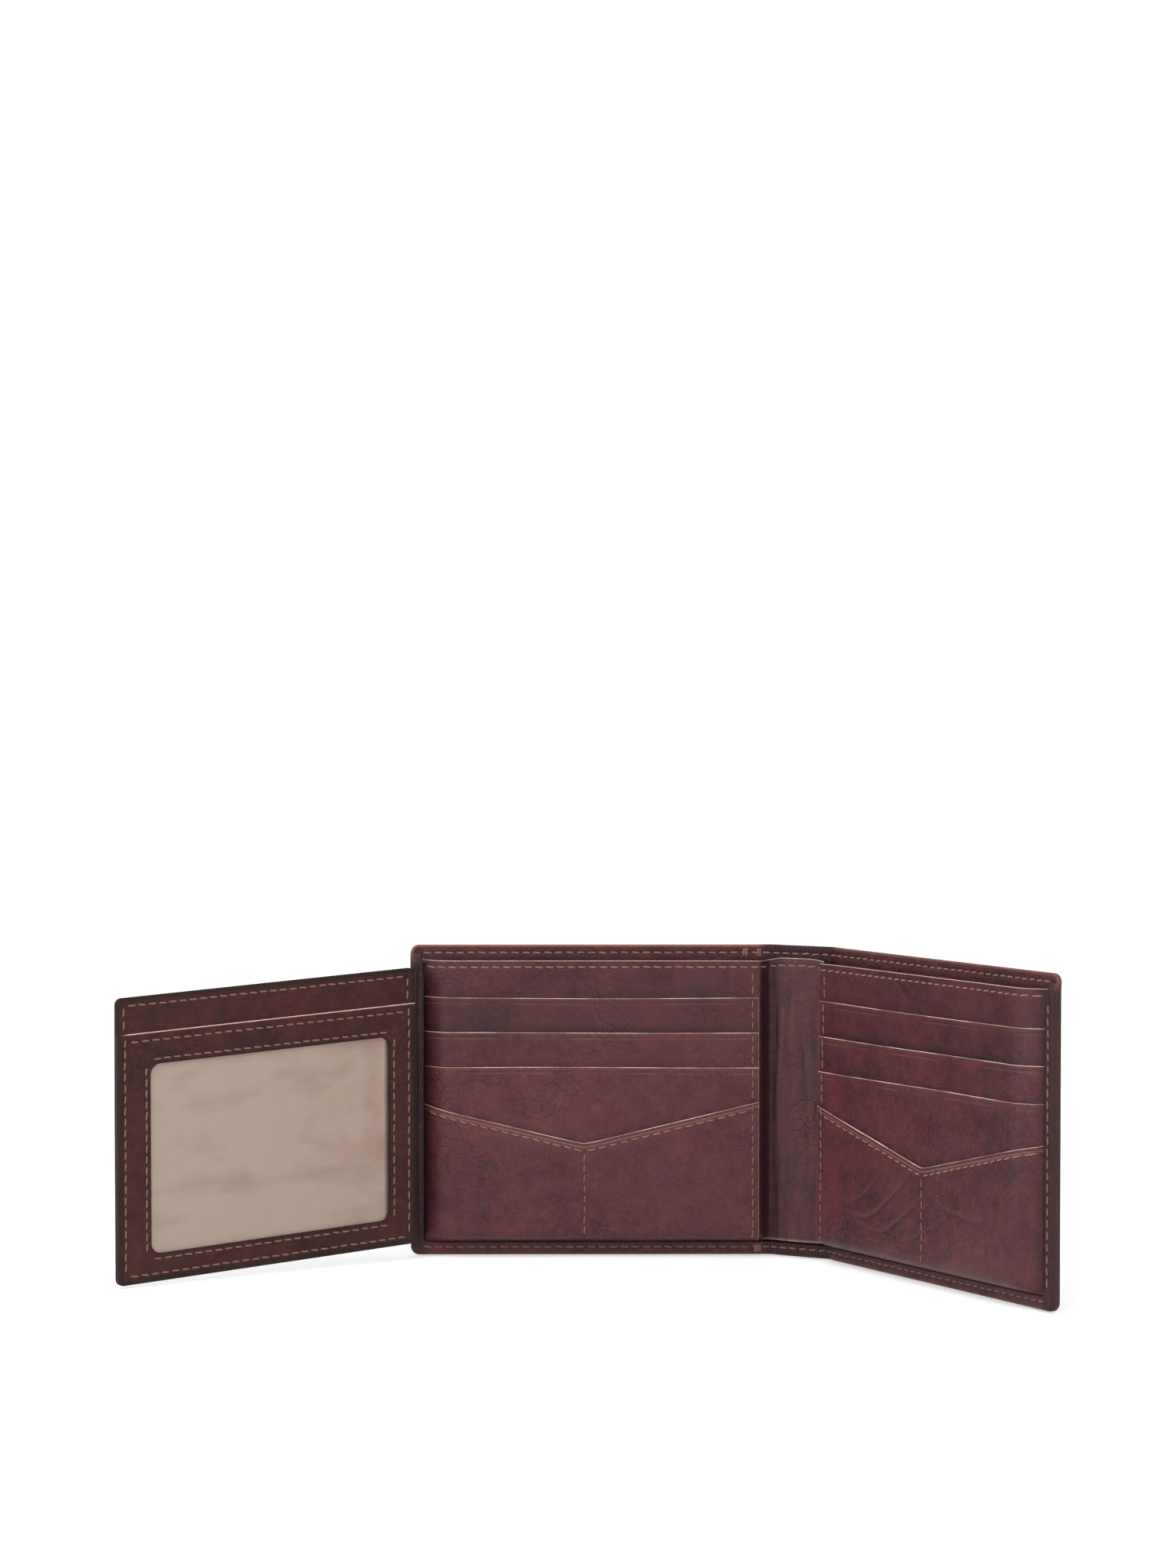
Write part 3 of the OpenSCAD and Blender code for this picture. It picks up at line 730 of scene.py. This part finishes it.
def cover_half(side):
    """Half of the outer cover with its turned hems, from the middle of the spine to the free edge."""
    run, climb = edge_path()
    arc = np.radians(np.linspace(0, 90, 9))
    skin = Skin()
    rows = []
    for (side_in, side_p), (top_in, top_p) in zip(SIDE_PROFILE, TOP_PROFILE):
        s_last = half_w - side_in
        low = side_in
        high = shell_h - top_in
        centre = half_w - corner_r
        over = max(side_in - corner_r, 0)
        over_top = max(top_in - corner_r, 0)
        r_side = max(corner_r - side_in, 0)
        r_top = max(corner_r - top_in, 0)
        s = [np.minimum(run, s_last), centre - over + r_side * np.sin(arc), np.full(climb.shape, s_last)]
        s += [centre - over + r_side * np.cos(arc), np.minimum(run, s_last)[::-1]]
        z = [np.full(run.shape, low), corner_r + over - r_side * np.cos(arc), np.clip(climb, low, high)]
        z += [shell_h - corner_r - over_top + r_top * np.sin(arc), np.full(run.shape, high)]
        share = [np.zeros(run.size + arc.size), smooth((climb - 83.2) / 5), np.ones(arc.size + run.size)]
        s, z, share = (np.concatenate(part) for part in (s, z, share))
        depth = side_p + (top_p - side_p) * share
        hem = side_p > 2.4
        pleat = np.sin(s * 2 * math.pi / 1.15 + 0.8 * np.sin(z * 0.7)) * smooth((1.5 - s) / 3)
        depth = depth + hem * pleat * 0.13
        # painted shade in the hem's pleats near the spine, lighter on their crests
        dark = hem * smooth((3 - s) / 2) * (0.75 - 0.25 * pleat)
        # painted shadow along the hem's inner edge and painted shade in the stitch groove
        dark = dark + 0.6 * ridge(side_in, hem_w, 0.25) * hem * (1 - share)
        dark = dark + 0.4 * ridge(side_in, 2.4, 0.25) * hem
        # painted shadow on the top hem below its stitch row
        dark = dark + 0.45 * hem * share * smooth((top_in - 2.6) / 1.5)
        # the side hems darker, on the left as painted shadow of the flap; their outer edges darker still
        on_side = smooth((s - half_w + hem_w + 0.5) / 0.4) * smooth((shell_h - 1 - z) / 6)
        low_corner = smooth((z - 1) / 4) if side == "left" else 1
        dark = dark + (0.5 if side == "left" else 0.45) * hem * on_side * low_corner
        dark = dark + (0.35 if side == "left" else 0.6) * (side_in < 0.8) * (side_p > 0.3) * on_side
        # pale rolled top edge, worn and with a painted highlight, stronger on the left; the outer edge and
        # the hem's edge pale, worn and with painted highlights
        wear_and_highlight = (0.5 if side == "left" else 0.28) * ridge(top_in, 0.1, 0.35) * share * smooth((s + 1) / 6)
        wear_and_highlight = wear_and_highlight + 0.2 * ridge(side_in, 0.3, 0.4) * (1 - share)
        wear_and_highlight = wear_and_highlight + 0.4 * ridge(top_in, top_hem_h, 0.1) * hem * share
        depth = depth + 0.12 * ripple(s * 1.7, z * 1.3) * (side_p < 0.01) * (side_in >= 3)
        rows.append(skin.add(side_x(side, s), depth, z, wear_and_highlight, np.clip(dark, 0, 0.8)))
    skin.quads(np.stack(rows))
    inner_s = run[run <= half_w - BACK_IN + 1e-6]
    inner_z = climb[(climb >= BACK_IN - 1e-6) & (climb <= shell_h - TOP_IN + 1e-6)]
    s, z = np.meshgrid(inner_s, inner_z)
    skin.quads(skin.add(side_x(side, s), 0.12 * ripple(s * 1.7, z * 1.3), z))
    skin.quads(skin.add(side_x(side, s), np.full(s.shape, 0.7), z, 0, 0.3))
    return skin


def bill_lining(side):
    """Lining cloth inside the cover, from the middle of the spine to the free edge."""
    s = np.unique(np.concatenate([stations(-spine_mid, 6, 0.6), stations(6, tuck_s, 4)]))
    z = stations(0.95, shell_h - top_hem_h - 0.15, 4)
    s, z = np.meshgrid(s, z)
    skin = Skin()
    front = skin.add(side_x(side, s), 1.33, z)
    back = skin.add(side_x(side, s), 1.17, z)
    skin.slab(front, back)
    return skin


# ---------------------------------------------------------------- stitches
def stitch_places(start, end, pitch=stitch_pitch):
    """Middle and direction of each stitch in a row between two flat places (along, z)."""
    run = math.dist(start, end)
    count = max(1, int(round(run / pitch)))
    angle = math.atan2(end[1] - start[1], end[0] - start[0])
    length = min(stitch_l if pitch == stitch_pitch else pitch, 0.86 * run / count)
    places = []
    for k in range(count):
        share = (k + 0.5) / count
        at = (start[0] + (end[0] - start[0]) * share, start[1] + (end[1] - start[1]) * share)
        places.append((at, angle, length))
    return places


def sew(name, rows, lay, material, slant=4.0, width=thread_w):
    """Rows of raised stitches: (start, end, depth of the leather, along to x, pitch, dimness, way). The
    dimness darkens a whole row as painted shade, and each stitch's ends are painted darker as shade where
    they sink in.

    The way is 1 on a face that looks inwards and -1 on an outer face.
    """
    skin = Skin()
    twist = []
    steps = np.array([-1, -0.86, -0.6, -0.3, 0, 0.3, 0.6, 0.86, 1])
    around = np.radians(np.arange(0, 360, 45))
    for start, end, face, to_x, pitch, dim, way in rows:
        for (a, z), angle, length in stitch_places(start, end, pitch):
            angle += math.radians(slant + random.uniform(-3.5, 3.5))
            half = length / 2 * random.uniform(0.95, 1.04)
            a += random.uniform(-0.07, 0.07)
            z += random.uniform(-0.05, 0.05)
            t, turn_by = np.meshgrid(steps, around, indexing="ij")
            r = width / 2 * np.sqrt(np.maximum(1 - t ** 4, 0.04))
            along = a + half * t * math.cos(angle) - r * np.cos(turn_by) * math.sin(angle)
            up = z + half * t * math.sin(angle) + r * np.cos(turn_by) * math.cos(angle)
            base = face(np.full(t.shape, a) + half * t * math.cos(angle), z + half * t * math.sin(angle))
            depth = base + way * (0.07 - 0.24 * t ** 4) + 0.75 * r * np.sin(turn_by)
            # painted shade at each stitch's ends and on dimmed rows
            grid = skin.add(to_x(along), depth, up, 0, np.maximum(0.85 * t ** 6, dim))
            skin.quads(grid, close=True)
            skin.faces += [grid[0, ::-1].tolist(), grid[-1].tolist()]
            twist.append((half * t * 9 + turn_by * 2).ravel())
    obj = build(name, skin, lay, material, sharp=80)
    values = np.concatenate(twist)
    if len(obj.data.vertices) == len(values):
        obj.data.attributes.new("twist", "FLOAT", "POINT").data.foreach_set("value", values)
    return obj


def shell_row(side, start, end, face, dim=0.0, pitch=stitch_pitch, way=1):
    return (start, end, face, lambda s: side_x(side, s), pitch, dim, way)


def level(p):
    return lambda s, z: np.full(np.shape(s), p, float)


def hem_rows(side):
    edge = lower_row_z
    top = shell_h - row_in
    side_s = half_w - row_in
    # the lower and side rows are dimmed as painted shade, the left side row in the flap's shadow
    rows = [
        shell_row(side, (-spine_mid, top), (side_s - 1, top), level(1.56)),
        shell_row(side, (-spine_mid, edge), (side_s - 1, edge), level(3.11), 0.45),
        shell_row(side, (side_s, 6), (side_s, shell_h - 8), level(3.11), 0.5 if side == "left" else 0.25),
    ]
    # The rows show on the outer face too
    for start, end in (
        ((-spine_mid, top), (side_s - 1, top)), ((-spine_mid, edge), (side_s - 1, edge)),
        ((side_s, edge + 1), (side_s, top - 1)),
    ):
        rows.append(shell_row(side, start, end, level(0.04), way=-1))
    return rows


def bar_tacks():
    """Close upright stitches that hold the left end of the spine, over the top hem and the lower hem."""
    rows = []
    for middle in (3.6, 7.6):
        for s in (middle - 0.42, middle, middle + 0.42):
            rows.append(shell_row("left", (s, panel_top + 0.35), (s, shell_h - 0.5), level(1.62), 0, 4))
    for s in (3.1, 3.5, 3.9, 4.3, 4.7):
        rows.append(shell_row("left", (s, 0.5), (s, 3.7), level(3.14), 0, 4))
    return rows


def panel_rows(side):
    backing = lambda s, z: ply_face(BACKING, side, s, z)
    height = panel_top - top_row_drop
    rows = [
        shell_row(side, (-spine_mid, height + 0.7), (0, height + 0.2), backing),
        shell_row(side, (0.5, height + 0.1), (seam_s - 0.5, height), backing),
    ]
    seam = panel_s + seam_inset
    edges = [panel_top - 2.6, *slots, v_spine, panel_base + 0.6]
    for k in range(5):
        face = lambda s, z, ply=BACKING + k: ply_face(ply, side, s, z)
        rows.append(shell_row(side, (seam, edges[k] - 0.4), (seam, edges[k + 1] + 0.5), face, 0.3))
    return rows


def pocket_rows(side):
    face = lambda s, z: ply_face(FRONT, side, s, z)
    return [
        shell_row(side, (panel_s + 3, v_spine - v_row_drop - 0.6), (v_s - 0.5, v_point - v_row_drop), face),
        shell_row(side, (v_s + 0.5, v_point - v_row_drop), (seam_s - 1, v_free - v_row_drop), face),
        shell_row(side, (v_s, v_point - v_row_drop - 0.6), (v_s, panel_base + 2.4), face, 0.35),
    ]


# ---------------------------------------------------------------- shell pieces
for side in ("left", "right"):
    body = side + "_half"
    spine_nodes = side == "left"

    skin = cover_half(side)
    piece = build("cover_skin_" + side, skin, lay_shell, cover_leather, fill=True)
    bend_at(piece)
    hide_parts("outer_cover_" + side, *(["outer_cover_spine"] if spine_nodes else []))

    piece = build("bill_lining_cloth_" + side, bill_lining(side), lay_shell, lining_cloth)
    bend_at(piece)
    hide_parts("bill_lining_" + side, *(["bill_lining_spine"] if spine_nodes else []))

    piece = build("pocket_lining_cloth_" + side, panel_sheet(LINING, side), lay_shell, lining_cloth)
    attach(piece, body)
    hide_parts("pocket_lining_" + side)

    piece = build("backing_leather_" + side, panel_sheet(BACKING, side), lay_shell, inner_leather)
    bend_at(piece)
    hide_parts("backing_panel_" + side, *(["inner_panel_spine"] if spine_nodes else []))

    for number, ply in enumerate((LEAF_1, LEAF_2, LEAF_3), 1):
        name = f"card_leaf_{number}_"
        piece = build(name + "leather_" + side, panel_sheet(ply, side), lay_shell, inner_leather)
        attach(piece, body)
        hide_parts(name + side)

    piece = build("front_pocket_leather_" + side, panel_sheet(FRONT, side), lay_shell, inner_leather)
    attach(piece, body)
    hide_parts("front_pocket_" + side)

    piece = sew("hem_stitches_" + side, hem_rows(side), lay_shell, hem_thread)
    bend_at(piece)
    if side == "left":
        tacks = sew("spine_bar_tacks", bar_tacks(), lay_shell, thread, slant=0, width=0.42)
        bend_at(tacks)
    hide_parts("hem_thread_" + side, *(["hem_thread_spine"] if spine_nodes else []))
    piece = sew("panel_stitches_" + side, panel_rows(side), lay_shell, thread)
    bend_at(piece)
    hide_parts("panel_thread_" + side)
    piece = sew("pocket_stitches_" + side, pocket_rows(side), lay_shell, thread)
    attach(piece, body)
    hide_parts("pocket_thread_" + side)

    board_node = frame["nodes"]["cover_board_" + side]
    board_node.data.materials.clear()
    board_node.data.materials.append(board)


# ---------------------------------------------------------------- flap
def flap_ripple(q, z):
    """The soft flap waves a little, more towards its free end."""
    wave = 0.1 * np.sin(z / 21 + 0.6) * np.sin(q / 30) + 0.05 * np.sin(q / 11 + z / 15)
    return smooth(q / 60) * wave - 0.06


def flap_corner(d, r=flap_r):
    """How far a rounded corner draws a side in, at the distance d from the end."""
    return r - np.sqrt(r * r - np.clip(r - d, 0, r) ** 2)


def flap_sheet(low, high, p_back, p_front, margin, worn_edge, round_low, round_high, pitch=4.0):
    """A sheet of the flap between two heights, with cut edges and rounded outer corners."""
    fine = (0, 0.05, 0.15, 0.35, 0.7, 1.2, 1.8, 2.3, 2.8, 3.6)
    q_line = stations(flap_start + margin, flap_end - margin, pitch, fine, fine)
    z_line = stations(low, high, pitch, fine, fine)
    q, z = np.meshgrid(q_line, z_line)
    shift = np.zeros_like(z)
    if round_low:
        shift = np.maximum(shift, flap_corner(z - low))
    if round_high:
        shift = np.maximum(shift, flap_corner(high - z))
    d_start = q - q_line[0]
    d_end = q_line[-1] - q
    d = np.minimum(np.minimum(d_start, d_end), np.minimum(z - low, high - z))
    q = q + shift * (np.clip(1 - d_start / 6, 0, 1) - np.clip(1 - d_end / 6, 0, 1))
    middle = (p_back + p_front) / 2 + flap_ripple(q, z)
    half = (p_front - p_back) / 2 * cut_edge(d, 0.5, 0.5)
    groove = 0.07 * ridge(d, row_in, 0.45) * (margin == 0)
    skin = Skin()
    wear_and_highlight = worn_edge * ridge(d, 0, 0.2)
    # edge paint on the cut edges; painted shade in the stitch groove
    dark = (0.75 * smooth((1.7 - d) / 0.9) + 0.4 * ridge(d, row_in, 0.25)) * (margin == 0)
    front = skin.add(q, middle + half - groove, z, wear_and_highlight, dark)
    back = skin.add(q, middle - half + groove, z, wear_and_highlight, dark)
    skin.slab(front, back)
    return skin


def rounded_outline(q0, q1, z0, z1, low_r, high_r):
    """Points round a box, always the same number: the four sides with the four corners between."""
    turn_steps = np.radians(np.linspace(0, 90, 9))
    even = np.linspace(0, 1, 31)[1:-1]
    corners = [
        (q0 + low_r, z0 + low_r, low_r, 180), (q1 - low_r, z0 + low_r, low_r, 270),
        (q1 - high_r, z1 - high_r, high_r, 0), (q0 + high_r, z1 - high_r, high_r, 90),
    ]
    arcs = []
    for q, z, r, first in corners:
        angle = math.radians(first) + turn_steps
        arcs.append(np.stack([q + r * np.cos(angle), z + r * np.sin(angle)], 1))
    points = []
    for k in range(4):
        a = arcs[k][-1]
        b = arcs[(k + 1) % 4][0]
        points += [arcs[k], a + (b - a) * even[:, None]]
    return np.concatenate(points)


# The window frame's section: side it is measured from, inset, depth
FRAME_PROFILE = [
    ("outer", 0.3, -0.25), ("outer", 0.06, -0.12), ("outer", 0, 0.1), ("outer", 0, 0.6),
    ("outer", 0.08, 0.85), ("outer", 0.3, 1.02), ("outer", 0.7, 1.1), ("outer", 1.5, 1.1),
    ("outer", 2.05, 1.05), ("outer", row_in, 1.0),
    ("outer", 2.55, 1.05), ("outer", 3.1, 1.1), ("window", 2.3, 1.1), ("window", 1.75, 1.06),
    ("window", 1.4, 1.01), ("window", 1.05, 1.06), ("window", 0.7, 1.1), ("window", 0.3, 1.06),
    ("window", 0.08, 0.94), ("window", 0, 0.75), ("window", 0.04, 0.45), ("window", 0.15, 0.3),
    ("window", 2.3, 0.3), ("outer", 3.3, 0.3), ("outer", 3.0, 0.15), ("outer", 3.0, -0.25),
]


def window_frame():
    skin = Skin()
    rows = []
    for edge, inset, p in FRAME_PROFILE:
        if edge == "outer":
            around = rounded_outline(flap_start + inset, flap_end - inset, inset, flap_slot - inset,
                                     max(flap_r - inset, 0), max(0.3 - inset, 0))
        else:
            around = rounded_outline(window_q[0] - inset, window_q[1] + inset, window_z[0] - inset,
                                     window_z[1] + inset, window_r + inset, window_r + inset)
        q, z = around.T
        on_slot = (np.arange(len(q)) > 84) & (np.arange(len(q)) < 116)
        depth = np.where(on_slot & (edge == "outer"), max(p, 0.3), p)
        wear_and_highlight = 0.0 * q
        dark = 0.0 * q
        if edge == "outer" and inset <= 1.5:
            # pale slot edge, worn and partly painted highlight; edge paint on the outer edges
            wear_and_highlight = np.where(on_slot, ridge(inset, 0, 0.16) * (p < 0.95), 0)
            dark = np.where(on_slot, 0, 0.7)
        if edge == "outer" and inset == row_in:
            # painted shade in the stitch groove
            dark = dark + 0.4
        if edge == "window":
            # dark window cut edge, edge paint and painted shadow on the frame's inner wall; painted shade in
            # the crease
            dark = dark + 0.75 * (inset <= 0.3) + 0.35 * (inset == 1.4)
        rows.append(skin.add(q, depth + flap_ripple(q, z), z, wear_and_highlight, dark))
    rows.append(rows[0])
    skin.quads(np.stack(rows), close=True)
    return skin


def flap_rows():
    inset = row_in
    q0 = flap_start + inset
    q1 = flap_end - inset
    high = flap_h - inset
    on_frame = lambda q, z: 1.0 + flap_ripple(q, z)
    on_band = lambda q, z: 0.2 + flap_ripple(q, z)
    flat = lambda q: q
    edge = [
        ((q0 + 1, inset), (q1 - 1, inset), on_frame), ((q0, inset + 1), (q0, flap_slot - 0.8), on_frame),
        ((q1, inset + 1), (q1, flap_slot - 0.8), on_frame), ((q0, flap_slot + 0.8), (q0, high), on_band),
        ((q1, flap_slot + 0.8), (q1, high), on_band), ((q0 + 1, high), (q1 - 1, high), on_band),
    ]
    slot_row = [((q0 + 1.4, flap_slot - 2.2), (q1 - 1.4, flap_slot - 2.2), on_frame)]
    gap = 1.4
    w0 = window_q[0] - gap
    w1 = window_q[1] + gap
    z0 = window_z[0] - gap
    z1 = window_z[1] + gap
    corner = 1.8
    window = [
        ((w0 + corner, z0), (w1 - corner, z0), on_frame), ((w0 + corner, z1), (w1 - corner, z1), on_frame),
        ((w0, z0 + corner), (w0, z1 - corner), on_frame), ((w1, z0 + corner), (w1, z1 - corner), on_frame),
    ]
    on_back = lambda q, z: -1.03 + flap_ripple(q, z)
    groups = []
    for rows in (edge, slot_row, window):
        groups.append([(a, b, face, flat, stitch_pitch, 0.1, 1) for a, b, face in rows])
    groups[0] += [(a, b, on_back, flat, stitch_pitch, 0, -1) for a, b, face in edge]
    return groups


inside = 3.3
flap_parts = [
    ("flap_back_leather", flap_sheet(0, flap_h, -1.1, -0.3, 0, 0, True, True), flap_leather,
     "flap_leather", "flap_back"),
    ("flap_lining_cloth", flap_sheet(inside, flap_slot - 6.3, -0.25, -0.05, inside, 0, False, False),
     flap_cloth, "flap_cloth", "flap_lining"),
    ("flap_film", flap_sheet(inside, flap_slot - 6.3, 0.05, 0.25, inside, 0, False, False), film,
     "window_film", "flap_window_film"),
    ("flap_band_leather", flap_sheet(flap_slot - 6, flap_h, -0.25, 0.25, 0, 0, False, True), flap_leather,
     "flap_leather", "flap_top_band"),
    ("flap_frame_leather", window_frame(), flap_leather, "flap_leather", "flap_window_frame"),
]
for name, skin, material, slot, node in flap_parts:
    piece = build(name, skin, lay_flap, material)
    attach(piece, "id_flap")
    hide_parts(node)
for name, rows in zip(("edge", "slot", "window"), flap_rows()):
    piece = sew(f"flap_{name}_stitches", rows, lay_flap, thread)
    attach(piece, "id_flap")
    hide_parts(f"flap_{name}_thread")


def hinge_strip():
    """Soft strip from the left half's free hem, round the hinge and onto the back of the flap."""
    strip_low = flap_base + 1.5
    strip_high = strip_low + flap_h - 3
    s_axis = fold_x - hinge_x
    flat_x = lambda s: fold_x - s
    path = [(flat_x(s_axis - 1.6), back_y - 3.5), (flat_x(s_axis - 0.9), back_y - 3.5)]
    path += [(flat_x(s_axis - 0.25), back_y - 3.75), (flat_x(s_axis), back_y - 4.4)]
    path += [(flat_x(s_axis), back_y - p) for p in (5.2, 6, 6.8, 7.6, 8.4)]
    radius = 1.32
    for angle in np.radians(np.linspace(90, 90 + math.degrees(rest_flap), 13)):
        path.append((hinge_x + radius * math.cos(angle), hinge_y + radius * math.sin(angle)))
    c = math.cos(rest_flap)
    s = math.sin(rest_flap)
    for q in (0.4, 1, 1.8, 2.8, 3.6, 4.0):
        path.append((hinge_x - q * c - radius * s, hinge_y - q * s + radius * c))
    path = np.array(path)
    ahead = np.gradient(path, axis=0)
    ahead /= np.linalg.norm(ahead, axis=1)[:, None]
    normal = np.stack([-ahead[:, 1], ahead[:, 0]], 1)
    thick = 0.21 * np.ones(len(path))
    thick[[0, -1]] = 0.1
    z = stations(strip_low, strip_high, 4, (0, 0.1, 0.4, 1), (0, 0.1, 0.4, 1))
    skin = Skin()
    wave = 0.06 * np.sin(z / 6.3)[:, None]
    grids = []
    for way in (1, -1):
        line = path + normal * thick[:, None] * way
        grids.append(skin.add(line[:, 0] + wave, line[:, 1], z[:, None] + 0 * line[:, 0]))
    skin.slab(*grids)
    return skin, path


# The strip runs from the top of its rise round the hinge to its run on the flap's back, baked in place as it
# lies at rest
strip_skin, strip_path = hinge_strip()
piece = build("hinge_strip_leather", strip_skin, lambda points: points * MM, shaded_strip_leather)
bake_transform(piece)
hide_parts("flap_hinge_strip")


# ---------------------------------------------------------------- camera, light and floor
def pale_floor(name):
    """Matt floor that glows a little, so that shadows on it stay soft."""
    look = Look(name)
    return look.end(look.node("BsdfPrincipled", {
        "Base Color": (0.62, 0.62, 0.62, 1), "Roughness": 0.9,
        "Emission Color": (1, 1, 1, 1), "Emission Strength": 0.45,
    }))


floor_mesh = bpy.data.meshes.new("floor")
reach = 6.0
floor_mesh.from_pydata(
    [(-reach, -reach, 0), (reach, -reach, 0), (reach, reach, 0), (-reach, reach, 0)], [], [(0, 1, 2, 3)])
floor = bpy.data.objects.new("floor", floor_mesh)
floor.location.z = -0.0004
bpy.context.scene.collection.objects.link(floor)
floor_mesh.materials.append(pale_floor("floor_look"))

world = bpy.data.worlds.new("studio")
bpy.context.scene.world = world
world.use_nodes = True
world.node_tree.nodes["Background"].inputs["Color"].default_value = (1, 1, 1, 1)
world.node_tree.nodes["Background"].inputs["Strength"].default_value = 1.03


def area_light(name, place, target, size, power):
    lamp = bpy.data.lights.new(name, "AREA")
    lamp.shape = "DISK"
    lamp.size = size
    lamp.energy = power
    obj = bpy.data.objects.new(name, lamp)
    bpy.context.scene.collection.objects.link(obj)
    obj.location = place
    towards = Vector(target) - Vector(place)
    obj.rotation_euler = towards.to_track_quat("-Z", "Y").to_euler()
    return obj


area_light("key", (-0.25, -0.55, 0.75), (0, -0.03, 0.04), 0.5, 5.0)
area_light("fill", (0.6, -0.8, 0.35), (0, -0.03, 0.04), 0.6, 2.0)
area_light("side", (-0.75, -0.55, 0.3), (0.1, -0.05, 0.04), 0.5, 3.0)

camera_data = bpy.data.cameras.new("camera")
camera = bpy.data.objects.new("camera", camera_data)
bpy.context.scene.collection.objects.link(camera)
camera.location = (-0.0082, -1.10235, 0.17655)
camera.rotation_euler = (math.radians(90 - 2.16), 0, math.radians(-0.38))
camera_data.lens = 88.68
camera_data.sensor_width = 36
camera_data.clip_start = 0.05
bpy.context.scene.camera = camera
bpy.context.scene.view_settings.view_transform = "Standard"
